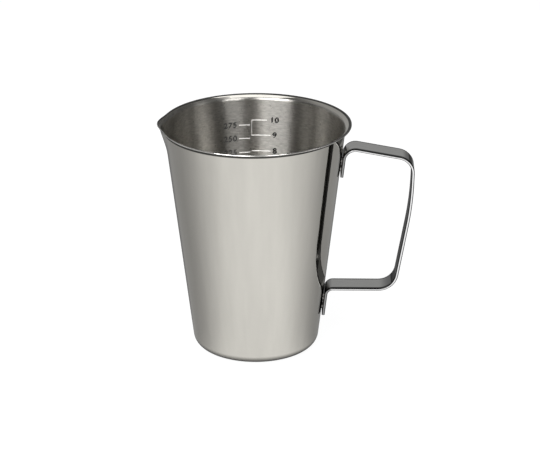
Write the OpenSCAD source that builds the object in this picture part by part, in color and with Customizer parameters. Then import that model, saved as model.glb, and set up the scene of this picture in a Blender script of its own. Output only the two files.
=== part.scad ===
// Half-pint measuring jug of polished stainless steel: a drawn conical body with a flared lip,
// a pinched pouring spout and a stamped scale inside, and a bent strap handle spot welded to it.
// Origin at the middle of the base, +Z up, handle towards +X, spout towards -X, in millimetres.

/* [Body] */
// Height from the base to the top of the lip
body_h = 101; // [95:0.5:130]
// Outside diameter of the straight wall carried down to the base plane
base_d = 53.8; // [50:0.1:62]
// Outside diameter of the straight wall carried up to the top of the lip
mouth_d = 77.9; // [74:0.1:92]
// Thickness of the steel sheet
sheet_t = 0.6; // [0.5:0.05:1.2]
// Outside radius where the wall turns into the base
base_r = 5; // [3:0.1:7]

/* [Lip] */
// How far the lip's edge stands out beyond the line of the wall
lip_flare = 2.4; // [1.8:0.05:4]
// Slope of the lip, from the vertical
lip_angle = 65; // [45:1:75]
// Outside radius where the wall turns into the lip
lip_bend_r = 1.3; // [0.8:0.1:2]

/* [Spout] */
// How far the tip of the spout stands out beyond the round lip
spout_reach = 0.9; // [0.5:0.1:3]
// Outside radius of the spout's nose below the lip
nose_r = 9.5; // [7:0.5:14]
// Slope of the spout's straight flanks, from square across the spout
flank_angle = 16; // [14:1:24]
// Depth below the lip at which the spout has faded out
spout_drop = 21.5; // [16:0.5:40]

/* [Scale] */
// Direction of the scale's upright line round the body, from the handle
scale_turn = 94; // [84:1:100]
// Width of the stamped lines
mark_w = 0.45; // [0.3:0.05:0.8]
// Depth of the stamped lines
mark_depth = 0.15; // [0.1:0.05:0.25]
// Length of a fluid ounce line with one figure beside it
ounce_mark_l = 8.3; // [4:0.1:9]
// Length of the top fluid ounce line, which leaves room for two figures
top_mark_l = 6.8; // [3:0.1:8]
// Length of a millilitre line
ml_mark_l = 4.9; // [3:0.1:8]
// Space between the scale's upright and the millilitre lines
ml_space = 0.8; // [0.6:0.1:2]
// Volume of one fluid ounce in millilitres
ounce_ml = 28.41; // [28:0.01:30]
// Fluid ounces marked
ounces = 10; // [4:1:10]
// Millilitres between two lines of the metric side
ml_step = 25; // [20:5:50]
// Lines on the metric side
ml_steps = 11; // [4:1:11]

/* [Handle] */
// Width of the strap
strap_w = 11.5; // [8:0.1:14]
// Thickness of the strap
strap_t = 1.3; // [1:0.1:2]
// Drop from the top of the lip to where the upper leg leaves the wall
upper_leg_drop = 9.4; // [8:0.1:14]
// Reach of the upper leg from its tab to the corner of the grip
upper_leg_reach = 29; // [24:0.1:40]
// How far the upper leg falls towards the grip
upper_leg_fall = 5.3; // [0:0.1:8]
// Drop from the upper corner of the grip to the knee where it leans in further
knee_drop = 20; // [16:0.1:28]
// How far the grip leans in between its upper corner and its knee
knee_in = 0.5; // [0:0.1:2]
// Height at which the lower leg leaves the wall
lower_leg_z = 26.7; // [22:0.1:32]
// Reach of the lower leg from its tab to the corner of the grip
lower_leg_reach = 29.2; // [22:0.1:40]
// Length of the upper tab, from its end to the corner with the leg
upper_tab_l = 13.2; // [12.5:0.1:18]
// Length of the lower tab, from its end to the corner with the leg
lower_tab_l = 12.3; // [11.5:0.1:16]
// Bend radius of the strap's middle between the upper tab and the upper leg
upper_tab_bend_r = 4.9; // [3:0.1:5]
// Bend radius of the strap's middle at the upper corner of the grip
upper_grip_bend_r = 7.1; // [4:0.1:10]
// Length over which the grip eases into and out of its knee
knee_ease = 10.5; // [4:0.5:12]
// Bend radius of the strap's middle at the lower corner of the grip
lower_grip_bend_r = 8.1; // [4:0.1:10]
// Bend radius of the strap's middle between the lower leg and the lower tab
lower_tab_bend_r = 3; // [2:0.1:4]

/* [Welds] */
// Diameter of a spot weld
weld_d = 3; // [2:0.1:3.4]
// Distance from the end of a tab to the middle of its first weld
weld_edge = 2.4; // [2:0.1:2.8]
// Distance between the two welds of a tab
weld_pitch = 3.8; // [3.6:0.1:4]
// Depth of the dimple that the electrodes leave at each end of a weld
weld_dimple = 0.15; // [0.05:0.05:0.25]
// Gap between a tab and the wall that the weld metal fills
weld_gap = 0.25; // [0.02:0.01:0.3]

/* [Hidden] */
$fn = 96;
polished_steel = [0.80, 0.80, 0.79];
strap_steel = [0.70, 0.70, 0.71];
weld_steel = [0.62, 0.62, 0.64];

// Straight steps that make up the base radius, the lip bend, the spout's nose and a strap bend
base_steps = 6;
lip_steps = 5;
nose_steps = 8;
strap_steps = 10;
// Flat that deburring leaves along the top of the lip
lip_land = 0.2;
// How far the foot of the spout lies inside the wall where it has faded out
spout_sink = 0.3;
// Cubic millimetres in one millilitre
ml_volume = 1000;
// How far a cut runs past the face that it opens
overrun = 1;
// Turn below which the grip counts as straight at its knee
straight_turn = 0.1;

// Lean of the wall
wall_slope = (mouth_d - base_d) / 2 / body_h;
wall_lean = atan(wall_slope);
function wall_r(z) = base_d / 2 + wall_slope * z;
function inner_r(z) = wall_r(z) - sheet_t / cos(wall_lean);

// Unit vectors in a radial section: along a sheet that leans by a, and out of its outer face
function along(a) = [sin(a), cos(a)];
function out_of(a) = [cos(a), -sin(a)];

// Base radius: its centre in the radial section
base_centre = [wall_r(base_r) - base_r / cos(wall_lean), base_r];

// Lip: middle of its cut edge, its corner with the wall on the sheet's middle, and its bend
lip_end = [
    mouth_d / 2 + lip_flare - cos(lip_angle) * sheet_t / 2,
    body_h - sin(lip_angle) * sheet_t / 2
];
lip_l = (lip_end[0] - wall_r(lip_end[1]) + sheet_t / cos(wall_lean) / 2)
    / (sin(lip_angle) - wall_slope * cos(lip_angle));
lip_corner = lip_end - lip_l * along(lip_angle);
lip_middle_r = lip_bend_r + sheet_t / 2;
lip_setback = lip_middle_r * tan((lip_angle - wall_lean) / 2);
lip_centre = lip_corner - lip_setback * along(wall_lean) + lip_middle_r * out_of(wall_lean);

// Radial section of one face of the sheet, from the axis of the base out and up to the lip's edge:
// depth is 0 on the outer face and the sheet's thickness on the inner face
function lip_edge(depth) = lip_end + (sheet_t / 2 - depth) * out_of(lip_angle);
function face_of_sheet(depth) = concat(
    [[0, depth]],
    [for (i = [0 : base_steps])
        let (a = 90 - (90 - wall_lean) * i / base_steps)
        base_centre + (base_r - depth) * out_of(a)],
    [for (i = [0 : lip_steps])
        let (a = wall_lean + (lip_angle - wall_lean) * i / lip_steps)
        lip_centre - (lip_bend_r + depth) * out_of(a)],
    [lip_edge(depth)]
);
// Where the form ends above the lip's edge: at the land on the outer face, past it on the inner face
lip_top = lip_edge(sheet_t) + [lip_land, 0];
cavity_top = lip_edge(sheet_t) + overrun * along(lip_angle);

module round_form() {
    rotate_extrude()
        polygon(concat(face_of_sheet(0), [lip_top, [0, lip_top[1]]]));
}
module round_cavity() {
    rotate_extrude()
        polygon(concat(face_of_sheet(sheet_t), [cavity_top, [0, cavity_top[1]]]));
}

// Spout: a rounded nose between two straight flanks that rises out of the round wall. Each level
// across it is the nose's arc, the feet of its flanks and a point on the body's axis.
spout_foot_z = body_h - spout_drop;
function lip_crease(depth) = lip_corner
    + (sheet_t / 2 - depth) * (out_of(wall_lean) + out_of(lip_angle)) / (1 + cos(lip_angle - wall_lean));
nose_foot_x = wall_r(spout_foot_z) - spout_sink - nose_r;
nose_x = lip_crease(0)[0] + spout_reach - nose_r;
function nose_level(centre_x, tip_x, z) =
    let (r = tip_x - centre_x, flank_x = centre_x * cos(flank_angle) + r)
    concat(
        [[0, 0, z], [flank_x * cos(flank_angle), -flank_x * sin(flank_angle), z]],
        [for (i = [0 : nose_steps])
            let (a = flank_angle * (2 * i / nose_steps - 1))
            [centre_x + r * cos(a), r * sin(a), z]],
        [[flank_x * cos(flank_angle), flank_x * sin(flank_angle), z]]
    );
function nose_face(depth) = concat(
    [nose_level(nose_foot_x, wall_r(spout_foot_z) - spout_sink - depth / cos(wall_lean), spout_foot_z)],
    [for (p = [lip_crease(depth), lip_edge(depth)]) nose_level(nose_x, p[0] + spout_reach, p[1])]
);
// A solid through level outlines that all have the same number of points, lowest first
module through_levels(levels) {
    m = len(levels[0]);
    top = len(levels) - 1;
    function at(i, j) = i * m + j % m;
    polyhedron(
        [for (level = levels, p = level) p],
        concat(
            [[for (j = [0 : m - 1]) at(0, j)], [for (j = [m - 1 : -1 : 0]) at(top, j)]],
            [for (i = [0 : top - 1], j = [0 : m - 1]) [at(i, j), at(i + 1, j), at(i + 1, j + 1)]],
            [for (i = [0 : top - 1], j = [0 : m - 1]) [at(i, j), at(i + 1, j + 1), at(i, j + 1)]]
        )
    );
}
module spout_form() {
    rotate([0, 0, 180])
        through_levels(concat(nose_face(0), [nose_level(nose_x, lip_top[0] + spout_reach, lip_top[1])]));
}
module spout_cavity() {
    top = nose_level(nose_x, cavity_top[0] + spout_reach, cavity_top[1]);
    rotate([0, 0, 180])
        through_levels(concat(nose_face(sheet_t), [top]));
}

function reversed(list) = [for (i = [len(list) - 1 : -1 : 0]) list[i]];

// Scale: heights at which the jug holds a volume, its bottom corner being small enough to leave out
floor_r = inner_r(sheet_t);
function fill_z(ml) = sheet_t
    + (pow(pow(floor_r, 3) + 3 * wall_slope * ml * ml_volume / PI, 1 / 3) - floor_r) / wall_slope;
scale_top_z = body_h - upper_leg_drop;
ounce_zs = [for (i = [1 : ounces]) if (fill_z(i * ounce_ml) < scale_top_z) fill_z(i * ounce_ml)];
ml_zs = [for (i = [1 : ml_steps]) if (fill_z(i * ml_step) < scale_top_z) fill_z(i * ml_step)];

// One level line on the inner wall, from one distance round it to another: both are measured from the
// scale's upright, the millilitre side being positive
module level_mark(z, from, to) {
    turn = 180 / PI / inner_r(z);
    rotate([0, 0, scale_turn + from * turn])
        rotate_extrude(angle = (to - from) * turn)
            translate([inner_r(z) - overrun, z - mark_w / 2])
                square([overrun + mark_depth, mark_w]);
}
// The upright joins the two highest fluid ounce lines
module scale_marks() {
    top = len(ounce_zs) - 1;
    low_z = ounce_zs[top - 1];
    high_z = ounce_zs[top];
    rotate([0, 0, scale_turn])
        translate([inner_r(low_z), 0, low_z])
            rotate([0, wall_lean, 0])
                translate([-overrun, -mark_w / 2, 0])
                    cube([overrun + mark_depth, mark_w, (high_z - low_z) / cos(wall_lean)]);
    for (i = [0 : top]) level_mark(ounce_zs[i], i == top ? -top_mark_l : -ounce_mark_l, 0);
    for (z = ml_zs) level_mark(z, ml_space, ml_space + ml_mark_l);
}

// Drawn body: the round form and the spout, hollowed out to the sheet
module body() {
    color(polished_steel)
        difference() {
            union() {
                round_form();
                spout_form();
            }
            round_cavity();
            spout_cavity();
            scale_marks();
            tab_welds(upper_tab_end, overrun);
            tab_welds(lower_tab_end, overrun);
        }
}

// Handle: corners of the strap's middle line in the plane of the handle, from the upper tab's end
// over the grip to the lower tab's end
strap_offset = (weld_gap + strap_t / 2) / cos(wall_lean);
upper_leg_z = body_h - upper_leg_drop;
upper_tab_corner = [wall_r(upper_leg_z) + strap_offset, upper_leg_z];
lower_tab_corner = [wall_r(lower_leg_z) + strap_offset, lower_leg_z];
upper_tab_end = upper_tab_corner - upper_tab_l * along(wall_lean);
lower_tab_end = lower_tab_corner - lower_tab_l * along(wall_lean);
upper_grip_corner = upper_tab_corner + [upper_leg_reach, -upper_leg_fall];
strap_corners = [
    upper_tab_end,
    upper_tab_corner,
    upper_grip_corner,
    upper_grip_corner - [knee_in, knee_drop],
    lower_tab_corner + [lower_leg_reach, 0],
    lower_tab_corner,
    lower_tab_end
];
knee = 3;
last_corner = len(strap_corners) - 1;
function heading(i) =
    let (d = strap_corners[i + 1] - strap_corners[i])
    atan2(d[1], d[0]);
// Turn at a corner, positive to the left, and how far from the corner its bend starts
function strap_turn(i) =
    let (t = heading(i) - heading(i - 1))
    t > 180 ? t - 360 : t < -180 ? t + 360 : t;
function half_turn(i) = max(abs(strap_turn(i)), straight_turn) / 2;
strap_bend_rs = [
    0, upper_tab_bend_r, upper_grip_bend_r, knee_ease / tan(half_turn(knee)),
    lower_grip_bend_r, lower_tab_bend_r, 0
];
function setback(i) = i == 0 || i == last_corner ? 0 : strap_bend_rs[i] * tan(half_turn(i));

// One face of the bent strap: side is +1 to the left of its run from tab to tab and -1 to the right
function strap_face(side) = concat(
    [strap_end(0, side)],
    [for (i = [1 : last_corner - 1])
        let (turn = strap_turn(i), bend_side = sign(turn), r = strap_bend_rs[i])
        for (k = [0 : strap_steps])
            let (a = heading(i - 1) + turn * k / strap_steps)
            strap_corners[i] - setback(i) * travel(heading(i - 1))
                + bend_side * r * leftward(heading(i - 1))
                - (bend_side * r - side * strap_t / 2) * leftward(a)],
    [strap_end(last_corner, side)]
);
function travel(a) = [cos(a), sin(a)];
function leftward(a) = [-sin(a), cos(a)];
function strap_end(i, side) = strap_corners[i] + side * strap_t / 2 * leftward(heading(max(i - 1, 0)));
module handle() {
    color(strap_steel)
        difference() {
            translate([0, strap_w / 2, 0])
                rotate([90, 0, 0])
                    linear_extrude(strap_w)
                        polygon(concat(strap_face(1), reversed(strap_face(-1))));
            tab_welds(upper_tab_end, overrun);
            tab_welds(lower_tab_end, overrun);
        }
}

// The two spot welds of one tab, square to the wall and through both sheets: extra is how far
// they run past the outer face of the tab and the inner face of the wall
module tab_welds(tab_end, extra) {
    for (i = [0 : 1]) {
        place = tab_end + (weld_edge + i * weld_pitch) * along(wall_lean);
        translate([place[0], 0, place[1]])
            rotate([0, 90 + wall_lean, 0])
                translate([0, 0, -strap_t / 2 - weld_gap - sheet_t - extra])
                    cylinder(d = weld_d, h = strap_t + weld_gap + sheet_t + 2 * extra);
    }
}
module upper_spot_welds() {
    color(weld_steel)
        tab_welds(upper_tab_end, -weld_dimple);
}
module lower_spot_welds() {
    color(weld_steel)
        tab_welds(lower_tab_end, -weld_dimple);
}

body();
handle();
upper_spot_welds();
lower_spot_welds();
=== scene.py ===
import math

import bmesh
import bpy
from mathutils import Matrix, Vector


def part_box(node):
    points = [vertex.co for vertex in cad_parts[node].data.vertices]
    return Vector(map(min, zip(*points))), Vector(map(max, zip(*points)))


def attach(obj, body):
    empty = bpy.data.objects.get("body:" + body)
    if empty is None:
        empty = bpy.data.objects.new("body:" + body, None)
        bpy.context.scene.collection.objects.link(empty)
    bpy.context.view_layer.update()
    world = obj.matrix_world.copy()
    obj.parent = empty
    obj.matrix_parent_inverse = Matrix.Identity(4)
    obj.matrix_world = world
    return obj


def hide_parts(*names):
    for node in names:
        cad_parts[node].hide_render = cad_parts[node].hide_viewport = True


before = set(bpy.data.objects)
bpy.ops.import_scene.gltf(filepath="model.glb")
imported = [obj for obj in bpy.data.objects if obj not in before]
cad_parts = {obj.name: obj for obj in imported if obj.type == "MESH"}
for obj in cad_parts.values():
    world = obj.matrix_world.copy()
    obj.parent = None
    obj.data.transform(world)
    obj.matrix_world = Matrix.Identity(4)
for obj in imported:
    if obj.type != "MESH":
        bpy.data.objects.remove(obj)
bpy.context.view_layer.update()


# Body
# One blank of stainless steel drawn into a cone with a rounded bottom corner, its edge turned out into
# a lip and pinched into a spout. It is polished outside and satin inside, and stands on its flat base.
jug_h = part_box("body")[1].z
foot_r = 0.0269
mouth_r = 0.03895
sheet_t = 0.0006
corner_r = 0.005
lip_flare = 0.0024
lip_root_lean = math.radians(50)
lip_edge_lean = math.radians(80)
lip_bend_r = 0.0013
lip_edge_r = 0.00028
spout_reach = 0.0004
spout_draw = 0.0012
nose_half_angle = math.radians(18)
pinch_half_angle = math.radians(70)
spout_drop = 0.013
flare_loss = 0.0016
flare_loss_half_angle = math.radians(95)
body_facets = 288
corner_steps = 10
flank_steps = 12
bend_steps = 8
lip_steps = 10
edge_steps = 5
seam_gap = 1e-6

wall_slope = (mouth_r - foot_r) / jug_h
wall_lean = math.atan(wall_slope)


def inner_r(z):
    """Radius of the inner face of the wall at a height."""
    return foot_r + wall_slope * z - sheet_t / math.cos(wall_lean)


def along(lean):
    """Direction up a sheet that leans out from the upright, in a radial section."""
    return Vector((math.sin(lean), math.cos(lean)))


def out_of(lean):
    """Direction out of the outer face of a sheet that leans, in a radial section."""
    return Vector((math.cos(lean), -math.sin(lean)))


def spread(first, last, steps):
    """Even steps from the first value to the last."""
    return [first + (last - first) * i / steps for i in range(steps + 1)]


corner_centre = Vector((foot_r + wall_slope * corner_r - corner_r / math.cos(wall_lean), corner_r))
lip_end = Vector((
    mouth_r + lip_flare - math.cos(lip_edge_lean) * sheet_t / 2,
    jug_h - math.sin(lip_edge_lean) * sheet_t / 2,
))
lip_stand_off = (
    (lip_end.x - foot_r - wall_slope * lip_end.y) * math.cos(wall_lean) + sheet_t / 2
)
bend_middle_r = lip_bend_r + sheet_t / 2
lip_crown_r = (
    (lip_stand_off - bend_middle_r * (1 - math.cos(lip_root_lean - wall_lean)))
    / (math.cos(lip_root_lean - wall_lean) - math.cos(lip_edge_lean - wall_lean))
)


def lip_point(lean, depth):
    """Point of the lip or its bend where the sheet leans so, at a depth below the outer face."""
    crown = lip_crown_r * (out_of(max(lean, lip_root_lean)) - out_of(lip_edge_lean))
    bend = bend_middle_r * (out_of(min(lean, lip_root_lean)) - out_of(lip_root_lean))
    return lip_end - crown - bend + (sheet_t / 2 - depth) * out_of(lean)


def sheet_face(depth):
    """Radial section of one face of the sheet, from the axis out and up to the lip's edge."""
    corner = [
        corner_centre + (corner_r - depth) * out_of(a)
        for a in spread(math.pi / 2, wall_lean, corner_steps)
    ]
    bend = [lip_point(a, depth) for a in spread(wall_lean, lip_root_lean, bend_steps)]
    lip = [
        lip_point(a, depth)
        for a in spread(lip_root_lean, lip_edge_lean - lip_edge_r / lip_crown_r, lip_steps)[1:]
    ]
    foot = jug_h - spout_drop
    flank = [
        Vector((foot_r + wall_slope * z - depth / math.cos(wall_lean), z))
        for z in spread(foot, bend[0].y, flank_steps)[:-1]
    ]
    return [Vector((0, depth))] + corner + flank + bend + lip


def lip_round(side):
    """The lip's edge, rounded by deburring: from its face round to the end, outside (+1) or inside (-1)."""
    centre = (
        lip_end + side * (sheet_t / 2 - lip_edge_r) * out_of(lip_edge_lean)
        - lip_edge_r * along(lip_edge_lean)
    )
    across = side * out_of(lip_edge_lean)
    return [
        centre + lip_edge_r * (math.cos(a) * across + math.sin(a) * along(lip_edge_lean))
        for a in spread(0, math.pi / 2, edge_steps)[1:]
    ]


outside = sheet_face(0) + lip_round(1)
inside = sheet_face(sheet_t) + lip_round(-1)


def line_object(name, points):
    """An open line of edges through points, for a tree to read."""
    mesh = bpy.data.meshes.new(name)
    mesh.from_pydata(points, [(i, i + 1) for i in range(len(points) - 1)], [])
    line = bpy.data.objects.new(name, mesh)
    bpy.context.scene.collection.objects.link(line)
    return line


def add_node(tree, kind, inputs=(), **settings):
    """A node with its settings, its inputs being values or other nodes' outputs."""
    node = tree.nodes.new(kind)
    for name, value in settings.items():
        setattr(node, name, value)
    for key, value in dict(inputs).items():
        if isinstance(value, bpy.types.NodeSocket):
            tree.links.new(value, node.inputs[key])
        else:
            node.inputs[key].default_value = value
    return node


def calc(tree, operation, *values):
    """One step of arithmetic in a tree."""
    return add_node(tree, "ShaderNodeMath", enumerate(values), operation=operation).outputs[0]


def parts_of(tree, vector):
    """The X, Y and Z of a vector in a tree."""
    return add_node(tree, "ShaderNodeSeparateXYZ", {0: vector}).outputs


def points(tree):
    """The X, Y and Z of the points that a tree works on."""
    return parts_of(tree, add_node(tree, "GeometryNodeInputPosition").outputs[0])


def stored(tree, name):
    """A number that a tree has stored on its shape by name."""
    return add_node(tree, "GeometryNodeInputNamedAttribute", {"Name": name}, data_type="FLOAT").outputs[0]


def realize(tree, shape):
    """Makes plain geometry of a shape's instances."""
    return add_node(tree, "GeometryNodeRealizeInstances", {"Geometry": shape}).outputs[0]


def dress(tree, shape, material, selection=True):
    """Gives a material to a shape, or to the selected faces of it."""
    return add_node(tree, "GeometryNodeSetMaterial", {
        "Geometry": shape, "Selection": selection, "Material": material,
    }).outputs[0]


def new_tree(name, **sizes):
    """An empty tree for Geometry Nodes with its named inputs, and the sockets at its two ends."""
    tree = bpy.data.node_groups.new(name, "GeometryNodeTree")
    for size, kind in sizes.items():
        tree.interface.new_socket(size, in_out="INPUT", socket_type="NodeSocket" + kind)
    tree.interface.new_socket("Geometry", in_out="OUTPUT", socket_type="NodeSocketGeometry")
    return tree, tree.nodes.new("NodeGroupInput").outputs, tree.nodes.new("NodeGroupOutput").inputs[0]


def grow(name, tree, **values):
    """The plain mesh that a tree gives for these sizes, as an object."""
    piece = bpy.data.objects.new(name, bpy.data.meshes.new(name))
    bpy.context.scene.collection.objects.link(piece)
    modifier = piece.modifiers.new(name, "NODES")
    modifier.node_group = tree
    for item in tree.interface.items_tree:
        if item.in_out == "INPUT":
            modifier[item.identifier] = values[item.name]
    bake(piece)
    return piece


def bake(piece):
    """Turns what a piece's modifiers give into its plain mesh."""
    result = bpy.data.meshes.new_from_object(
        piece.evaluated_get(bpy.context.evaluated_depsgraph_get())
    )
    piece.modifiers.clear()
    old = piece.data
    piece.data = result
    bpy.data.meshes.remove(old)
    result.name = piece.name


def steel(name, colour, roughness, grain, scratch, smear, waviness, mottle, change, **gloss):
    """Stainless steel: a finish between two roughnesses with a fine grain, over a faintly wavy sheet.

    grain, smear and mottle are the scales of their noise along the axes. scratch is the depth of the grain
    and waviness that of the smear, in metres. change is the share by which mottle changes the colour.
    """
    noise_detail = 3.0
    noise_roughness = 0.6
    noise_range = (0.3, 0.7)
    material = bpy.data.materials.new(name)
    material.use_nodes = True
    tree = material.node_tree
    shader = tree.nodes["Principled BSDF"]
    place = add_node(tree, "ShaderNodeTexCoord").outputs["Object"]
    noises = []
    for scale in (smear, grain, mottle):
        stretch = add_node(tree, "ShaderNodeMapping", {"Vector": place, "Scale": scale})
        noise = add_node(tree, "ShaderNodeTexNoise", {
            "Vector": stretch.outputs[0], "Scale": 1.0, "Detail": noise_detail, "Roughness": noise_roughness,
        })
        noises.append(add_node(tree, "ShaderNodeMapRange", {
            "Value": noise.outputs["Fac"], "From Min": noise_range[0], "From Max": noise_range[1],
        }).outputs[0])
    waves, scratches, tone = noises
    shade = add_node(tree, "ShaderNodeMix", {0: tone}, data_type="RGBA")
    shade.inputs["A"].default_value = (*[c * (1 - change) for c in colour], 1)
    shade.inputs["B"].default_value = (*[min(1, c * (1 + change)) for c in colour], 1)
    gloss_range = add_node(tree, "ShaderNodeMapRange", {
        "Value": scratches, "To Min": roughness[0], "To Max": roughness[1],
    })
    sheet = add_node(tree, "ShaderNodeBump", {"Strength": 1.0, "Distance": waviness, "Height": waves})
    bump = add_node(tree, "ShaderNodeBump", {
        "Strength": 1.0, "Distance": scratch, "Height": scratches, "Normal": sheet.outputs[0],
    })
    tree.links.new(shade.outputs["Result"], shader.inputs["Base Color"])
    tree.links.new(gloss_range.outputs[0], shader.inputs["Roughness"])
    tree.links.new(bump.outputs[0], shader.inputs["Normal"])
    shader.inputs["Metallic"].default_value = 1
    for socket, value in gloss.items():
        shader.inputs[socket].default_value = value
    if gloss:
        round_axis = add_node(tree, "ShaderNodeTangent", direction_type="RADIAL", axis="Z")
        tree.links.new(round_axis.outputs[0], shader.inputs["Tangent"])
    return material


polished = steel(
    "polished_steel", (0.615, 0.597, 0.55), (0.03, 0.07), grain=(60, 60, 2500), scratch=4e-8,
    smear=(300, 300, 14), waviness=6e-6, mottle=(90, 90, 9), change=0.05)
# Satin steel for the inside; its colour is set darker than the polished steel's, as painted shade inside the
# jug.
satin_painted_shade = steel(
    "satin_steel", (0.47, 0.455, 0.425), (0.27, 0.33), grain=(1600, 1600, 1200), scratch=6e-6,
    smear=(260, 260, 30), waviness=4e-6, mottle=(450, 450, 1500), change=0.18,
    **{"Anisotropic": 0.97, "Anisotropic Rotation": 0.25})
# Rough steel painted near black: painted shade in the crease under the lip and at the rim's upper corner.
dull_painted_shade = steel(
    "dull_steel", (0.07, 0.068, 0.063), (0.35, 0.5), grain=(900, 900, 900), scratch=4e-7,
    smear=(300, 300, 300), waviness=1e-7, mottle=(400, 400, 400), change=0.2)
# Steel painted near white for the rim: a painted highlight along the trimmed end of the sheet.
trimmed_painted_highlight = steel(
    "trimmed_edge_steel", (0.92, 0.905, 0.87), (0.05, 0.12), grain=(900, 900, 900), scratch=1e-7,
    smear=(300, 300, 300), waviness=1e-7, mottle=(400, 400, 400), change=0.06)

# The finishes follow the sheet's section, each from the row of points given here on. The wheel polishes the
# wall and the top of the lip. The lip's underside and the rim's upper corner are rough steel painted near
# black: painted shade in the crease under the lip, and a painted dark outline at the corner. The trimmed end
# of the sheet between these is painted near white, a painted highlight. In the spout the satin reaches up
# close to the rim, and the rim is painted bright past its upper corner on the side that faces the front, a
# painted highlight.
lip_row = corner_steps + 2 + flank_steps + bend_steps
rim_row = len(outside)
finishes = {
    "Underside": (lip_row - 6, dull_painted_shade),
    "Rim": (rim_row - 2, trimmed_painted_highlight),
    "UpperCorner": (rim_row + 3, dull_painted_shade),
    "Lip": (rim_row + edge_steps + 4, polished),
    "Inside": (rim_row + edge_steps + lip_steps + 1, satin_painted_shade),
}
spout_rim_end_row = rim_row + edge_steps + 1
spout_satin_row = rim_row + edge_steps + 6
spout_satin_half_angle = math.radians(72)

tree, size, result = new_tree(
    "drawn_body", Section="Object", Facets="Int", Height="Float", SpoutReach="Float", SpoutDraw="Float",
    NoseHalfAngle="Float", PinchHalfAngle="Float", SpoutDrop="Float", FootRadius="Float", Slope="Float",
    Flare="Float", FlareLoss="Float", FlareLossHalfAngle="Float", Wall="Material",
    SpoutRimEndRow="Int", SpoutSatinRow="Int", SpoutSatinHalfAngle="Float",
    **{part + "Row": "Int" for part in finishes}, **{part: "Material" for part in finishes},
)
section = add_node(tree, "GeometryNodeObjectInfo", {"Object": size["Section"]}).outputs["Geometry"]
rows = add_node(tree, "GeometryNodeAttributeDomainSize", {0: section}, component="MESH").outputs[0]
grid = add_node(tree, "GeometryNodeMeshGrid", {
    "Vertices X": calc(tree, "ADD", size["Facets"], 1), "Vertices Y": rows,
}).outputs["Mesh"]
number = add_node(tree, "GeometryNodeInputIndex").outputs[0]
column = calc(tree, "FLOOR", calc(tree, "DIVIDE", number, rows))
row = calc(tree, "SUBTRACT", number, calc(tree, "MULTIPLY", column, rows))
# The facets straddle the handle's plane, so that no edge of the wall lies along one of the weld drills'.
half_past = calc(tree, "ADD", column, 0.5)
turn = calc(tree, "MULTIPLY", calc(tree, "DIVIDE", half_past, size["Facets"]), 2 * math.pi)
spot = parts_of(tree, add_node(tree, "GeometryNodeSampleIndex", {
    "Geometry": section, "Value": add_node(tree, "GeometryNodeInputPosition").outputs[0], "Index": row,
}, data_type="FLOAT_VECTOR").outputs[0])


def bell(tree, value, half_width):
    """1 in the middle, falling smoothly to 0 at half the width."""
    share = calc(tree, "MINIMUM", calc(tree, "ABSOLUTE", calc(tree, "DIVIDE", value, half_width)), 1.0)
    return calc(tree, "MULTIPLY_ADD", calc(tree, "COSINE", calc(tree, "MULTIPLY", share, math.pi)), 0.5, 0.5)


aside = calc(tree, "SUBTRACT", turn, math.pi)
nose = calc(tree, "MULTIPLY", calc(tree, "ADD", size["SpoutReach"], size["SpoutDraw"]),
            bell(tree, aside, size["NoseHalfAngle"]))
draw = calc(tree, "MULTIPLY", size["SpoutDraw"], bell(tree, aside, size["PinchHalfAngle"]))
fade = bell(tree, calc(tree, "SUBTRACT", size["Height"], spot["Z"]), size["SpoutDrop"])
loss = calc(tree, "MULTIPLY", size["FlareLoss"], bell(tree, aside, size["FlareLossHalfAngle"]))
wall = calc(tree, "MULTIPLY_ADD", spot["Z"], size["Slope"], size["FootRadius"])
stand_out = calc(tree, "MAXIMUM", calc(tree, "SUBTRACT", spot["X"], wall), 0.0)
flared = calc(tree, "DIVIDE", stand_out, size["Flare"])
push = calc(tree, "MULTIPLY", calc(tree, "ADD", calc(tree, "SUBTRACT", nose, draw), loss), fade)
reach = calc(tree, "ADD", spot["X"], calc(tree, "SUBTRACT", push, calc(tree, "MULTIPLY", loss, flared)))
place = add_node(tree, "ShaderNodeCombineXYZ", {
    "X": calc(tree, "MULTIPLY", reach, calc(tree, "COSINE", turn)),
    "Y": calc(tree, "MULTIPLY", reach, calc(tree, "SINE", turn)),
    "Z": spot["Z"],
}).outputs[0]
grid = add_node(tree, "GeometryNodeStoreNamedAttribute", {
    "Geometry": grid, "Name": "row", "Value": row,
}, data_type="FLOAT", domain="POINT").outputs[0]
sheet = add_node(tree, "GeometryNodeSetPosition", {"Geometry": grid, "Position": place}).outputs[0]
sheet = add_node(tree, "GeometryNodeMergeByDistance", {"Geometry": sheet, "Distance": seam_gap}).outputs[0]
sheet = add_node(tree, "GeometryNodeSetShadeSmooth", {"Geometry": sheet}).outputs[0]
sheet = dress(tree, realize(tree, sheet), size["Wall"])
face_row = stored(tree, "row")
for part in finishes:
    sheet = dress(tree, sheet, size[part], calc(tree, "GREATER_THAN", face_row, size[part + "Row"]))
spot = points(tree)
aside = calc(tree, "ABSOLUTE", calc(tree, "ARCTAN2", spot["Y"], calc(tree, "MULTIPLY", spot["X"], -1.0)))
in_spout = calc(tree, "LESS_THAN", aside, size["SpoutSatinHalfAngle"])
past_rim = calc(tree, "GREATER_THAN", face_row, size["SpoutSatinRow"])
sheet = dress(tree, sheet, size["Inside"], calc(tree, "MULTIPLY", in_spout, past_rim))
# The rim on the front side of the spout is painted bright: a painted highlight.
in_front = calc(tree, "MULTIPLY", in_spout, calc(tree, "LESS_THAN", spot["Y"], 0.0))
from_rim = calc(tree, "GREATER_THAN", face_row, size["RimRow"])
on_rim = calc(tree, "MULTIPLY", from_rim, calc(tree, "LESS_THAN", face_row, size["SpoutRimEndRow"]))
sheet = dress(tree, sheet, size["Rim"], calc(tree, "MULTIPLY", in_front, on_rim))
tree.links.new(sheet, result)

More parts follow.
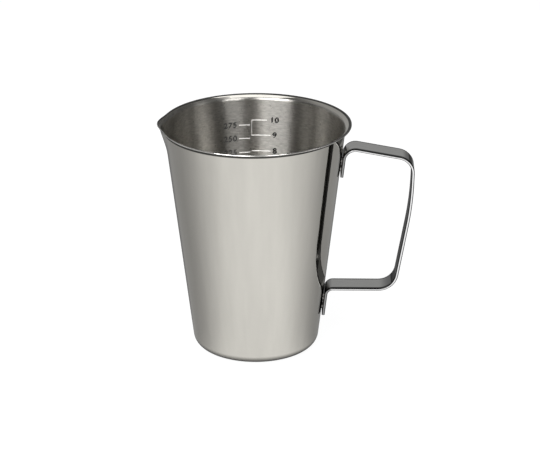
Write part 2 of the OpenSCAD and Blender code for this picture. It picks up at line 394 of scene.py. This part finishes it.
section_line = line_object("body_section", [(p.x, 0, p.y) for p in outside + inside[::-1]])
body = grow(
    "jug_body", tree, Section=section_line, Facets=body_facets, Height=jug_h,
    SpoutReach=spout_reach, SpoutDraw=spout_draw, NoseHalfAngle=nose_half_angle,
    PinchHalfAngle=pinch_half_angle, SpoutDrop=spout_drop, FootRadius=foot_r, Slope=wall_slope,
    Flare=lip_flare, FlareLoss=flare_loss, FlareLossHalfAngle=flare_loss_half_angle, Wall=polished,
    SpoutRimEndRow=spout_rim_end_row, SpoutSatinRow=spout_satin_row,
    SpoutSatinHalfAngle=spout_satin_half_angle,
    **{part + "Row": first_row for part, (first_row, _) in finishes.items()},
    **{part: finish for part, (_, finish) in finishes.items()},
)
bpy.data.objects.remove(section_line)
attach(body, "root")
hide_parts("body")


# Handle
# A strap of stainless steel, cut to length with its edges rounded, and bent to a grip with a leg at
# each end. The end of each leg is turned down into a tab that lies flat against the wall.
strap_w = 0.0115
strap_t = 0.0013
strap_edge_r = 0.0006
weld_gap = 0.00025
upper_leg_z = jug_h - 0.0094
upper_leg_reach = 0.029
upper_leg_fall = 0.0053
knee_drop = 0.02
knee_in = 0.0005
knee_ease = 0.0105
lower_leg_z = 0.0267
lower_leg_reach = 0.0292
upper_tab_l = 0.0132
lower_tab_l = 0.0123
upper_tab_bend_r = 0.0049
upper_grip_bend_r = 0.0071
lower_grip_bend_r = 0.0081
lower_tab_bend_r = 0.003
strap_bend_steps = 14
strap_edge_steps = 5


def tab_line(z):
    """Where the middle of a tab's thickness lies at a height, in the plane of the handle."""
    return Vector((foot_r + wall_slope * z + (weld_gap + strap_t / 2) / math.cos(wall_lean), z))


upper_tab_end = tab_line(upper_leg_z) - upper_tab_l * along(wall_lean)
lower_tab_end = tab_line(lower_leg_z) - lower_tab_l * along(wall_lean)
upper_grip = tab_line(upper_leg_z) + Vector((upper_leg_reach, -upper_leg_fall))
knee = upper_grip - Vector((knee_in, knee_drop))
lower_grip = tab_line(lower_leg_z) + Vector((lower_leg_reach, 0))
knee_bend_r = knee_ease / math.tan((lower_grip - knee).angle(knee - upper_grip) / 2)
strap_bends = [
    (upper_tab_end, 0), (tab_line(upper_leg_z), upper_tab_bend_r), (upper_grip, upper_grip_bend_r),
    (knee, knee_bend_r), (lower_grip, lower_grip_bend_r), (tab_line(lower_leg_z), lower_tab_bend_r),
    (lower_tab_end, 0),
]
path = bpy.data.curves.new("strap_path", "CURVE")
path.dimensions = "3D"
run = path.splines.new("POLY")
run.points.add(len(strap_bends) - 1)
for point, (corner, bend_r) in zip(run.points, strap_bends):
    point.co = (corner.x, 0, corner.y, 1)
    point.radius = bend_r
path = bpy.data.objects.new("strap_path", path)
bpy.context.scene.collection.objects.link(path)

strap_steel = steel(
    "strap_steel", (0.535, 0.535, 0.52), (0.08, 0.14), grain=(300, 2500, 300), scratch=4e-8,
    smear=(90, 400, 90), waviness=4e-7, mottle=(150, 600, 150), change=0.06)


def tint(material, share, tone):
    """Mixes a grey tone into a finish by a share from 0 to 1."""
    tree = material.node_tree
    colour = tree.nodes["Principled BSDF"].inputs["Base Color"]
    mix = add_node(tree, "ShaderNodeMix", {0: share}, data_type="RGBA")
    tree.links.new(colour.links[0].from_socket, mix.inputs["A"])
    mix.inputs["B"].default_value = (tone, tone, tone, 1)
    tree.links.new(mix.outputs["Result"], colour)


def ramp(tree, value, low, high):
    """A smooth step from 0 at the low value to 1 at the high one."""
    return add_node(tree, "ShaderNodeMapRange", {
        "Value": value, "From Min": low, "From Max": high,
    }, interpolation_type="SMOOTHSTEP").outputs[0]


# The strap's two edge faces are painted bright, a painted highlight, between margins painted near black, a
# painted dark outline. The edges are painted darker where the tabs stand close to the wall, as painted
# shade. In the grip and the lower half, faces that turn towards the wall are painted darker and the face
# towards the wall near black, as painted shade.
margin_shade_tone = 0.02
margin_y = (0.0041, 0.0047)
edge_highlight_tone = 0.92
edge_facing = (0.9, 0.96)
tab_edge_shade_tone = 0.3
tab_stand_off = (0.0035, 0.002)
bend_shade_tone = 0.22
bend_facing = (0.0, -0.6)
inner_shade_tone = 0.08
inner_facing = (-0.45, -0.85)
grip_x = (0.042, 0.05)
lower_half_z = (0.06, 0.05)
tree = strap_steel.node_tree
facing = parts_of(tree, add_node(tree, "ShaderNodeNewGeometry").outputs["Normal"])
spot = parts_of(tree, add_node(tree, "ShaderNodeTexCoord").outputs["Object"])
# Painted shade on the faces that turn towards the wall, in the grip and the lower half.
inward_shade_zone = calc(tree, "MAXIMUM", ramp(tree, spot["X"], *grip_x), ramp(tree, spot["Z"], *lower_half_z))
for facing_range, tone in ((bend_facing, bend_shade_tone), (inner_facing, inner_shade_tone)):
    tint(strap_steel, calc(tree, "MULTIPLY", inward_shade_zone, ramp(tree, facing["X"], *facing_range)), tone)
# Painted dark outline on the margins beside the strap's edges.
tint(strap_steel, ramp(tree, calc(tree, "ABSOLUTE", spot["Y"]), *margin_y), margin_shade_tone)
# Painted highlight on the strap's edge faces.
on_edge = ramp(tree, calc(tree, "ABSOLUTE", facing["Y"]), *edge_facing)
tint(strap_steel, on_edge, edge_highlight_tone)
# Painted shade on the edges where the tabs stand close to the wall.
wall = calc(tree, "MULTIPLY_ADD", spot["Z"], wall_slope, foot_r)
on_tab = ramp(tree, calc(tree, "SUBTRACT", spot["X"], wall), *tab_stand_off)
tint(strap_steel, calc(tree, "MULTIPLY", on_edge, on_tab), tab_edge_shade_tone)

tree, size, result = new_tree(
    "bent_strap", Path="Object", Width="Float", Thickness="Float", EdgeRadius="Float", EdgeSteps="Int",
    BendSteps="Int", Finish="Material",
)
line = add_node(tree, "GeometryNodeObjectInfo", {"Object": size["Path"]}).outputs["Geometry"]
line = add_node(tree, "GeometryNodeFilletCurve", {
    "Curve": line, "Count": size["BendSteps"],
    "Radius": add_node(tree, "GeometryNodeInputRadius").outputs[0],
}, mode="POLY").outputs[0]
line = add_node(tree, "GeometryNodeSetCurveNormal", {
    "Curve": line, "Normal": (0, 1, 0),
}, mode="FREE").outputs[0]
bar = add_node(tree, "GeometryNodeCurvePrimitiveQuadrilateral", {
    "Width": size["Width"], "Height": size["Thickness"],
}).outputs[0]
bar = add_node(tree, "GeometryNodeFilletCurve", {
    "Curve": bar, "Count": size["EdgeSteps"], "Radius": size["EdgeRadius"],
}, mode="POLY").outputs[0]
strap = add_node(tree, "GeometryNodeCurveToMesh", {
    "Curve": line, "Profile Curve": bar, "Scale": 1.0, "Fill Caps": True,
}).outputs[0]
strap = add_node(tree, "GeometryNodeSetShadeSmooth", {"Geometry": strap}).outputs[0]
tree.links.new(dress(tree, realize(tree, strap), size["Finish"]), result)

handle = grow(
    "jug_handle", tree, Path=path, Width=strap_w, Thickness=strap_t, EdgeRadius=strap_edge_r,
    EdgeSteps=strap_edge_steps, BendSteps=strap_bend_steps, Finish=strap_steel,
)
bpy.data.objects.remove(path)
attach(handle, "root")
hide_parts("handle")


# Spot welds
# Two nuggets of fused steel at each tab, pressed between round electrodes that leave a shallow dish at
# both ends: one on the outer face of the tab and one on the inner face of the wall.
weld_d = 0.003
weld_edge = 0.0024
weld_pitch = 0.0038
weld_dish = 0.00015
weld_play = 0.00001
weld_overrun = 0.001
weld_facets = 48
weld_rings = 6
point_gap = 1e-7
sharp_angle = math.radians(35)

weld_steel = steel(
    "weld_steel", (0.5, 0.49, 0.47), (0.3, 0.45), grain=(1500, 1500, 1500), scratch=3e-7,
    smear=(600, 600, 600), waviness=8e-7, mottle=(500, 500, 500), change=0.12)


def vector(tree, x, y, z):
    """A vector in a tree from its three numbers."""
    return add_node(tree, "ShaderNodeCombineXYZ", {"X": x, "Y": y, "Z": z}).outputs[0]


tree, size, result = new_tree(
    "spot_welds", First="Vector", Pitch="Vector", Lean="Float", Radius="Float", Depth="Float", Dish="Float",
    Finish="Material",
)
places = add_node(tree, "GeometryNodeMeshLine", {
    "Count": 2, "Start Location": size["First"], "Offset": size["Pitch"],
}).outputs[0]
nugget = add_node(tree, "GeometryNodeMeshCylinder", {
    "Vertices": weld_facets, "Fill Segments": weld_rings,
    "Radius": size["Radius"], "Depth": size["Depth"],
}, fill_type="TRIANGLE_FAN").outputs["Mesh"]
spot = points(tree)
square = calc(tree, "MULTIPLY_ADD", spot["X"], spot["X"], calc(tree, "MULTIPLY", spot["Y"], spot["Y"]))
share = calc(tree, "DIVIDE", calc(tree, "SQRT", square), size["Radius"])
sunk = calc(tree, "SUBTRACT", 1.0, calc(tree, "MULTIPLY", share, share))
sink = calc(tree, "MULTIPLY", sunk, size["Dish"])
half_depth = calc(tree, "MULTIPLY", size["Depth"], 0.5)
squeeze = calc(tree, "SUBTRACT", 1.0, calc(tree, "DIVIDE", sink, half_depth))
nugget = add_node(tree, "GeometryNodeSetPosition", {
    "Geometry": nugget,
    "Position": vector(tree, spot["X"], spot["Y"], calc(tree, "MULTIPLY", spot["Z"], squeeze)),
}).outputs[0]
pair = add_node(tree, "GeometryNodeInstanceOnPoints", {
    "Points": places, "Instance": nugget,
    "Rotation": vector(tree, 0.0, calc(tree, "ADD", size["Lean"], math.pi / 2), 0.0),
}).outputs[0]
tree.links.new(dress(tree, realize(tree, pair), size["Finish"]), result)


def cut(piece, cutter, crossing=False):
    """Takes a cutter out of a piece, and leaves the cutter's finish on the cut.

    crossing says that parts of the cutter cross each other.
    """
    modifier = piece.modifiers.new("cut", "BOOLEAN")
    modifier.operation = "DIFFERENCE"
    modifier.solver = "EXACT"
    modifier.material_mode = "TRANSFER"
    modifier.use_self = crossing
    modifier.object = cutter
    bake(piece)
    bpy.data.objects.remove(cutter)


def in_plane(point):
    """A point of the handle's plane in space."""
    return (point.x, 0, point.y)


def finish_mesh(piece):
    """Drops the points that cuts leave between only two faces, and shades all but sharp edges smooth."""
    mesh = bmesh.new()
    mesh.from_mesh(piece.data)
    bmesh.ops.dissolve_degenerate(mesh, dist=point_gap, edges=mesh.edges)
    idle = [point for point in mesh.verts if len(point.link_edges) == 2]
    bmesh.ops.dissolve_verts(mesh, verts=idle)
    mesh.to_mesh(piece.data)
    mesh.free()
    piece.data.set_sharp_from_angle(angle=sharp_angle)
    modifier = piece.modifiers.new("normals", "WEIGHTED_NORMAL")
    modifier.keep_sharp = True
    bake(piece)


weld_l = strap_t + weld_gap + sheet_t
for node, tab_end in (("upper_spot_welds", upper_tab_end), ("lower_spot_welds", lower_tab_end)):
    middle = tab_end + weld_edge * along(wall_lean) - (weld_gap + sheet_t) / 2 * out_of(wall_lean)
    weld_line = {
        "First": in_plane(middle), "Pitch": in_plane(weld_pitch * along(wall_lean)), "Lean": wall_lean,
        "Finish": weld_steel,
    }
    for piece in (body, handle):
        drill = grow(
            node + "_drill", tree, Radius=weld_d / 2, Depth=weld_l + 2 * weld_overrun, Dish=0.0, **weld_line)
        cut(piece, drill)
    welds = grow(
        "jug_" + node, tree, Radius=weld_d / 2 - weld_play, Depth=weld_l - 2 * weld_play, Dish=weld_dish,
        **weld_line)
    finish_mesh(welds)
    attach(welds, "root")
    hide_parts(node)
finish_mesh(handle)


# Scale
# Lines and figures struck into the inner wall with a stamp: fluid ounces to the right of an upright and
# millilitres to its left, each line at the height to which its volume fills the jug.
scale_turn = math.radians(94)
ounce_volume = 28.41e-6
ounces = 10
metric_step = 25e-6
millilitre = 1e-6
metric_lines = 11
line_w = 0.00045
line_depth = 0.00015
line_taper = 0.8
line_points = 17
ounce_line_l = 0.0083
top_line_l = 0.0068
metric_line_l = 0.0049
metric_space = 0.0008
figure_size = 0.0034
figure_stretch = 1.15
figure_bold = 0.00016
figure_depth = 0.00012
figure_spacing = 1.08
figure_curve_steps = 4
figure_gap = 1e-7
ounce_figures_x = 0.0102
metric_figures_x = -0.0096
stamp_overrun = 0.00015

# The grooves of the lines are steel painted near white: a painted highlight.
line_steel = steel(
    "line_steel", (0.88, 0.87, 0.84), (0.45, 0.55), grain=(900, 900, 900), scratch=1e-7,
    smear=(300, 300, 300), waviness=1e-7, mottle=(600, 600, 600), change=0.1)
# The grooves of the figures are steel painted near black: painted shade in the recesses.
figure_steel = steel(
    "figure_steel", (0.03, 0.03, 0.03), (0.4, 0.5), grain=(900, 900, 900), scratch=4e-7,
    smear=(300, 300, 300), waviness=1e-7, mottle=(600, 600, 600), change=0.3)

# In the millilitre figures, on the side of the spout, the painted shade is lighter than in the ounces.
lighter_figure_shade_tone = 0.2
light_figures_x = (-0.002, -0.006)
tree = figure_steel.node_tree
spot = parts_of(tree, add_node(tree, "ShaderNodeTexCoord").outputs["Object"])
tint(figure_steel, ramp(tree, spot["X"], *light_figures_x), lighter_figure_shade_tone)

tree, size, result = new_tree(
    "struck_scale", FloorRadius="Float", FloorZ="Float", Slope="Float", Turn="Float",
    Ounces="Int", OunceVolume="Float", OunceLine="Float", TopLine="Float", OunceFigures="Float",
    MetricLines="Int", MetricStep="Float", MetricLine="Float", MetricSpace="Float", MetricFigures="Float",
    LineWidth="Float", LineDepth="Float", FigureSize="Float", FigureStretch="Float", FigureBold="Float",
    FigureDepth="Float", Overrun="Float", LineFinish="Material", FigureFinish="Material",
)


def fill_z(tree, size, volume):
    """Height to which a volume fills the jug."""
    cube = calc(tree, "POWER", size["FloorRadius"], 3.0)
    grown = calc(tree, "MULTIPLY", calc(tree, "MULTIPLY", volume, size["Slope"]), 3 / math.pi)
    level_r = calc(tree, "POWER", calc(tree, "ADD", cube, grown), 1 / 3)
    rise = calc(tree, "DIVIDE", calc(tree, "SUBTRACT", level_r, size["FloorRadius"]), size["Slope"])
    return calc(tree, "ADD", size["FloorZ"], rise)


def numbers(tree, size, volume):
    """The index of a line on one side of the scale, and the height of its volume."""
    index = add_node(tree, "GeometryNodeInputIndex").outputs[0]
    return index, fill_z(tree, size, calc(tree, "MULTIPLY", calc(tree, "ADD", index, 1.0), volume))


def figures(tree, size, lines, volume, step, x):
    """The numerals of one side of the scale, flat, upright and centred at a distance."""
    each = tree.nodes.new("GeometryNodeForeachGeometryElementInput")
    done = tree.nodes.new("GeometryNodeForeachGeometryElementOutput")
    each.pair_with_output(done)
    tree.links.new(lines, each.inputs["Geometry"])
    count = calc(tree, "ADD", each.outputs["Index"], 1.0)
    words = add_node(tree, "FunctionNodeValueToString", {"Value": calc(tree, "MULTIPLY", count, step)})
    glyphs = add_node(tree, "GeometryNodeStringToCurves", {
        "String": words.outputs[0], "Size": size["FigureSize"], "Character Spacing": figure_spacing,
    }, align_x="CENTER", align_y="MIDDLE").outputs["Curve Instances"]
    glyphs = add_node(tree, "GeometryNodeSetSplineResolution", {
        "Geometry": realize(tree, glyphs), "Resolution": figure_curve_steps,
    }).outputs[0]
    face = add_node(tree, "GeometryNodeFillCurve", {"Curve": glyphs}, mode="NGONS").outputs[0]
    punch = add_node(tree, "GeometryNodeExtrudeMesh", {
        "Mesh": face, "Offset": (0, 0, 1), "Individual": False,
        "Offset Scale": calc(tree, "ADD", size["FigureDepth"], size["Overrun"]),
    }).outputs["Mesh"]
    back = add_node(tree, "GeometryNodeFlipFaces", {"Mesh": face}).outputs[0]
    both = tree.nodes.new("GeometryNodeJoinGeometry")
    tree.links.new(punch, both.inputs[0])
    tree.links.new(back, both.inputs[0])
    closed = add_node(tree, "GeometryNodeMergeByDistance", {
        "Geometry": both.outputs[0], "Distance": figure_gap,
    }).outputs[0]
    aside = calc(tree, "MULTIPLY", size["FigureBold"], -1.0)
    apart = calc(tree, "MULTIPLY", size["FigureBold"], 2.0)
    strikes = add_node(tree, "GeometryNodeMeshLine", {
        "Count": 2, "Start Location": vector(tree, aside, aside, 0.0),
        "Offset": vector(tree, apart, apart, 0.0),
    }).outputs[0]
    bold = add_node(tree, "GeometryNodeInstanceOnPoints", {
        "Points": strikes, "Instance": closed, "Scale": vector(tree, size["FigureStretch"], 1.0, 1.0),
    }).outputs[0]
    level = fill_z(tree, size, calc(tree, "MULTIPLY", count, volume))
    sunk = add_node(tree, "GeometryNodeTransform", {
        "Geometry": realize(tree, bold), "Rotation": (math.pi / 2, 0, 0),
        "Translation": vector(tree, x, size["FigureDepth"], level),
    }).outputs[0]
    tree.links.new(sunk, done.inputs["Geometry"])
    return add_node(tree, "GeometryNodeStoreNamedAttribute", {
        "Geometry": done.outputs[2], "Name": "figure", "Value": 1.0,
    }, data_type="FLOAT", domain="FACE").outputs[0]


reach = calc(tree, "ADD", size["LineDepth"], size["Overrun"])
bar = add_node(tree, "GeometryNodeMeshCube", {
    "Size": vector(tree, 1.0, reach, size["LineWidth"]), "Vertices X": line_points,
}).outputs["Mesh"]
spot = points(tree)
middle = calc(tree, "MULTIPLY", calc(tree, "SUBTRACT", size["LineDepth"], size["Overrun"]), 0.5)
depth = calc(tree, "ADD", spot["Y"], middle)
taper = calc(tree, "MULTIPLY_ADD", calc(tree, "DIVIDE", depth, size["LineDepth"]), -line_taper, 1.0)
start = calc(tree, "ADD", spot["X"], 0.5)
bar = add_node(tree, "GeometryNodeSetPosition", {
    "Geometry": bar, "Position": vector(tree, start, depth, calc(tree, "MULTIPLY", spot["Z"], taper)),
}).outputs[0]

index, level = numbers(tree, size, size["OunceVolume"])
ounce_points = add_node(tree, "GeometryNodeMeshLine", {"Count": size["Ounces"]}).outputs[0]
is_top = calc(tree, "GREATER_THAN", index, calc(tree, "SUBTRACT", size["Ounces"], 1.5))
longer = calc(tree, "SUBTRACT", size["TopLine"], size["OunceLine"])
ounce_l = calc(tree, "MULTIPLY_ADD", is_top, longer, size["OunceLine"])
ounce_lines = add_node(tree, "GeometryNodeInstanceOnPoints", {
    "Points": add_node(tree, "GeometryNodeSetPosition", {
        "Geometry": ounce_points, "Position": vector(tree, 0.0, 0.0, level),
    }).outputs[0],
    "Instance": bar, "Scale": vector(tree, ounce_l, 1.0, 1.0),
}).outputs[0]

index, level = numbers(tree, size, size["MetricStep"])
metric_points = add_node(tree, "GeometryNodeMeshLine", {"Count": size["MetricLines"]}).outputs[0]
metric_start = calc(tree, "MULTIPLY", calc(tree, "ADD", size["MetricSpace"], size["MetricLine"]), -1.0)
metric_bars = add_node(tree, "GeometryNodeInstanceOnPoints", {
    "Points": add_node(tree, "GeometryNodeSetPosition", {
        "Geometry": metric_points, "Position": vector(tree, metric_start, 0.0, level),
    }).outputs[0],
    "Instance": bar, "Scale": vector(tree, size["MetricLine"], 1.0, 1.0),
}).outputs[0]

high = fill_z(tree, size, calc(tree, "MULTIPLY", size["Ounces"], size["OunceVolume"]))
one_less = calc(tree, "SUBTRACT", size["Ounces"], 1.0)
low = fill_z(tree, size, calc(tree, "MULTIPLY", one_less, size["OunceVolume"]))
upright = add_node(tree, "GeometryNodeInstanceOnPoints", {
    "Points": add_node(tree, "GeometryNodeMeshLine", {
        "Count": 1, "Start Location": vector(tree, 0.0, 0.0, low),
    }).outputs[0],
    "Instance": bar, "Rotation": (0, -math.pi / 2, 0),
    "Scale": vector(tree, calc(tree, "SUBTRACT", high, low), 1.0, 1.0),
}).outputs[0]

stamp = tree.nodes.new("GeometryNodeJoinGeometry")
for bars in (ounce_lines, metric_bars, upright):
    tree.links.new(realize(tree, bars), stamp.inputs[0])
ounce_figures = figures(tree, size, ounce_points, size["OunceVolume"], 1.0, size["OunceFigures"])
metric_count = calc(tree, "MULTIPLY", size["MetricStep"], 1 / millilitre)
metric_figures = figures(
    tree, size, metric_points, size["MetricStep"], metric_count, size["MetricFigures"])
tree.links.new(ounce_figures, stamp.inputs[0])
tree.links.new(metric_figures, stamp.inputs[0])

spot = points(tree)
above_floor = calc(tree, "SUBTRACT", spot["Z"], size["FloorZ"])
wall = calc(tree, "MULTIPLY_ADD", above_floor, size["Slope"], size["FloorRadius"])
turn = calc(tree, "SUBTRACT", size["Turn"], calc(tree, "DIVIDE", spot["X"], wall))
away = calc(tree, "ADD", wall, spot["Y"])
stamp = add_node(tree, "GeometryNodeSetPosition", {
    "Geometry": stamp.outputs[0],
    "Position": vector(tree, calc(tree, "MULTIPLY", away, calc(tree, "COSINE", turn)),
                       calc(tree, "MULTIPLY", away, calc(tree, "SINE", turn)), spot["Z"]),
}).outputs[0]
stamp = dress(tree, realize(tree, stamp), size["LineFinish"])
is_figure = calc(tree, "GREATER_THAN", stored(tree, "figure"), 0.5)
tree.links.new(dress(tree, stamp, size["FigureFinish"], is_figure), result)

cut(body, grow(
    "scale_stamp", tree, FloorRadius=inner_r(sheet_t), FloorZ=sheet_t, Slope=wall_slope, Turn=scale_turn,
    Ounces=ounces, OunceVolume=ounce_volume, OunceLine=ounce_line_l, TopLine=top_line_l,
    OunceFigures=ounce_figures_x, MetricLines=metric_lines, MetricStep=metric_step,
    MetricLine=metric_line_l, MetricSpace=metric_space, MetricFigures=metric_figures_x,
    LineWidth=line_w, LineDepth=line_depth, FigureSize=figure_size, FigureStretch=figure_stretch,
    FigureBold=figure_bold, FigureDepth=figure_depth, Overrun=stamp_overrun, LineFinish=line_steel,
    FigureFinish=figure_steel,
), crossing=True)
finish_mesh(body)


# Floor
# A plain white table top that carries the jug's soft shadow. Metal sees a painted glow on it: a painted pool
# of light, bright in front of the jug and far out and greyer towards the sides and the back, with a painted
# shadow close to the foot and painted shade where the wall's outline mirrors it.
floor_half = 4
floor_z = -0.0001
floor_tone = 0.12
white_glow = 0.95
pool_glow = (0.85, 0.235)
pool_bearing = math.radians(4)
pool_facing = (math.radians(13), math.radians(60))
mirror_r = 0.018
outline_shade = 0.12
outline_facing = (math.radians(86), math.radians(73))
foot_shade = 0.05
foot_shade_r = (0.0245, 0.0315)
pool_fade_r = (0.45, 0.3)
far_glow = 0.75
far_glow_r = (0.3, 0.42)
far_glow_y = (0.25, 0.1)
floor_mesh = bpy.data.meshes.new("floor")
corners = ((-1, -1), (1, -1), (1, 1), (-1, 1))
floor_mesh.from_pydata(
    [(x * floor_half, y * floor_half, floor_z) for x, y in corners], [], [(0, 1, 2, 3)]
)
floor = bpy.data.objects.new("floor", floor_mesh)
bpy.context.scene.collection.objects.link(floor)
table = bpy.data.materials.new("white_table")
table.use_nodes = True
tree = table.node_tree
tree.nodes.remove(tree.nodes["Principled BSDF"])
place = add_node(tree, "ShaderNodeTexCoord").outputs["Object"]
away = add_node(tree, "ShaderNodeVectorMath", {0: place}, operation="LENGTH").outputs["Value"]
spot = parts_of(tree, place)


def blend(tree, share, first, last):
    """The first number where the share is 0, passing to the last where it is 1."""
    return calc(tree, "MULTIPLY_ADD", share, last - first, first)


# A far spot is mirrored by a point of the wall at half its bearing from the front, and a near one by a
# point almost above it.
bearing = calc(tree, "ARCTAN2", spot["X"], calc(tree, "MULTIPLY", spot["Y"], -1.0))
bearing = calc(tree, "ABSOLUTE", calc(tree, "SUBTRACT", bearing, pool_bearing))
halving = calc(tree, "SUBTRACT", 2.0, calc(tree, "DIVIDE", mirror_r, away))
facing = calc(tree, "DIVIDE", bearing, halving)
# A painted pool of light in front of the jug.
pool = blend(tree, ramp(tree, facing, *pool_facing), *pool_glow)
# Painted shade where the wall's outline mirrors the floor, for a dark outline on the wall.
outline = blend(tree, ramp(tree, facing, *outline_facing), outline_shade, 1)
pool = calc(tree, "MULTIPLY", pool, outline)
# A painted shadow close to the foot.
shade = blend(tree, ramp(tree, away, *foot_shade_r), foot_shade, 1)
pool = calc(tree, "MULTIPLY", calc(tree, "MULTIPLY", pool, shade), ramp(tree, away, *pool_fade_r))
# A painted glow far out.
far = calc(tree, "MULTIPLY", ramp(tree, away, *far_glow_r), ramp(tree, spot["Y"], *far_glow_y))
glow = calc(tree, "MULTIPLY_ADD", far, far_glow, pool)
rays = add_node(tree, "ShaderNodeLightPath").outputs
glow = calc(tree, "ADD",
            calc(tree, "MULTIPLY", rays["Is Camera Ray"], white_glow),
            calc(tree, "MULTIPLY", rays["Is Glossy Ray"], glow))
white = add_node(tree, "ShaderNodeBsdfDiffuse", {"Color": (floor_tone, floor_tone, floor_tone, 1)})
lit = add_node(tree, "ShaderNodeEmission", {"Strength": glow})
both = add_node(tree, "ShaderNodeAddShader", {0: white.outputs[0], 1: lit.outputs[0]})
tree.links.new(both.outputs[0], tree.nodes["Material Output"].inputs["Surface"])
floor_mesh.materials.append(table)


# Studio
# A pale backdrop behind the table, which ends towards the handle's side, in a dim room. There is a softbox
# overhead, one at either side in front and a weak one on the handle's side. The camera is the photograph's:
# a long lens that looks down into the jug's mouth.
backdrop_glow = 0.4
room_glow = 0.13
backdrop_top = (88, 45)
backdrop_front = (-0.2, 0.6)
backdrop_right = (0.38, 0.22)
lamp_reach = 1.2
world = bpy.data.worlds.new("studio")
bpy.context.scene.world = world
world.use_nodes = True
tree = world.node_tree
rays = add_node(tree, "ShaderNodeLightPath").outputs
way = parts_of(tree, add_node(tree, "ShaderNodeTexCoord").outputs["Generated"])
low = ramp(tree, way["Z"], *[math.sin(math.radians(a)) for a in backdrop_top])
back = ramp(tree, way["Y"], *backdrop_front)
left = ramp(tree, way["X"], *backdrop_right)
backdrop = calc(tree, "MULTIPLY", low, calc(tree, "MULTIPLY", back, left))
room = blend(tree, backdrop, room_glow, backdrop_glow)
tone = add_node(tree, "ShaderNodeMix", {0: rays["Is Camera Ray"], 2: room, 3: 1.0}, data_type="FLOAT")
tree.links.new(tone.outputs[0], tree.nodes["Background"].inputs["Strength"])
tree.nodes["Background"].inputs["Color"].default_value = (1, 1, 1, 1)


def softbox(name, bearing, height, width, tall, radiance):
    """A rectangular lamp round the jug, facing its mouth: bearing from +Y towards +X, height in degrees."""
    lamp = bpy.data.lights.new(name, "AREA")
    lamp.shape = "RECTANGLE"
    lamp.size = width
    lamp.size_y = tall
    lamp.energy = radiance * math.pi * width * tall
    box = bpy.data.objects.new(name, lamp)
    bearing, height = math.radians(bearing), math.radians(height)
    away = Vector((
        math.sin(bearing) * math.cos(height), math.cos(bearing) * math.cos(height), math.sin(height),
    ))
    box.location = Vector((0, 0, jug_h)) + lamp_reach * away
    box.rotation_euler = away.to_track_quat("Z", "Y").to_euler()
    bpy.context.scene.collection.objects.link(box)


softbox("overhead", bearing=0, height=82, width=0.7, tall=0.7, radiance=1.5)
softbox("front_left", bearing=208, height=40, width=0.8, tall=0.8, radiance=7.0)
softbox("front_right", bearing=150, height=40, width=0.44, tall=0.65, radiance=4.0)
softbox("handle_side", bearing=98, height=35, width=0.4, tall=0.5, radiance=0.8)

photo_width = 540
focal_pixels = 2302.3
shift_pixels = (14.56, 9.36)
azimuth = math.radians(1.8)
elevation = math.radians(21.68)
roll = math.radians(-0.339)
camera_reach = 0.9989
aim = Vector((0, 0, 0.05))
camera = bpy.data.cameras.new("camera")
camera.sensor_width = 36
camera.lens = focal_pixels / photo_width * camera.sensor_width
camera.shift_x = shift_pixels[0] / photo_width
camera.shift_y = shift_pixels[1] / photo_width
camera.clip_end = 20
view = bpy.data.objects.new("camera", camera)
away = Vector((
    math.sin(azimuth) * math.cos(elevation), -math.cos(azimuth) * math.cos(elevation), math.sin(elevation),
))
turned = away.to_track_quat("Z", "Y").to_matrix().to_4x4() @ Matrix.Rotation(roll, 4, "Z")
view.matrix_world = Matrix.Translation(aim + camera_reach * away) @ turned
bpy.context.scene.collection.objects.link(view)
bpy.context.scene.camera = view
bpy.context.scene.view_settings.view_transform = "Standard"
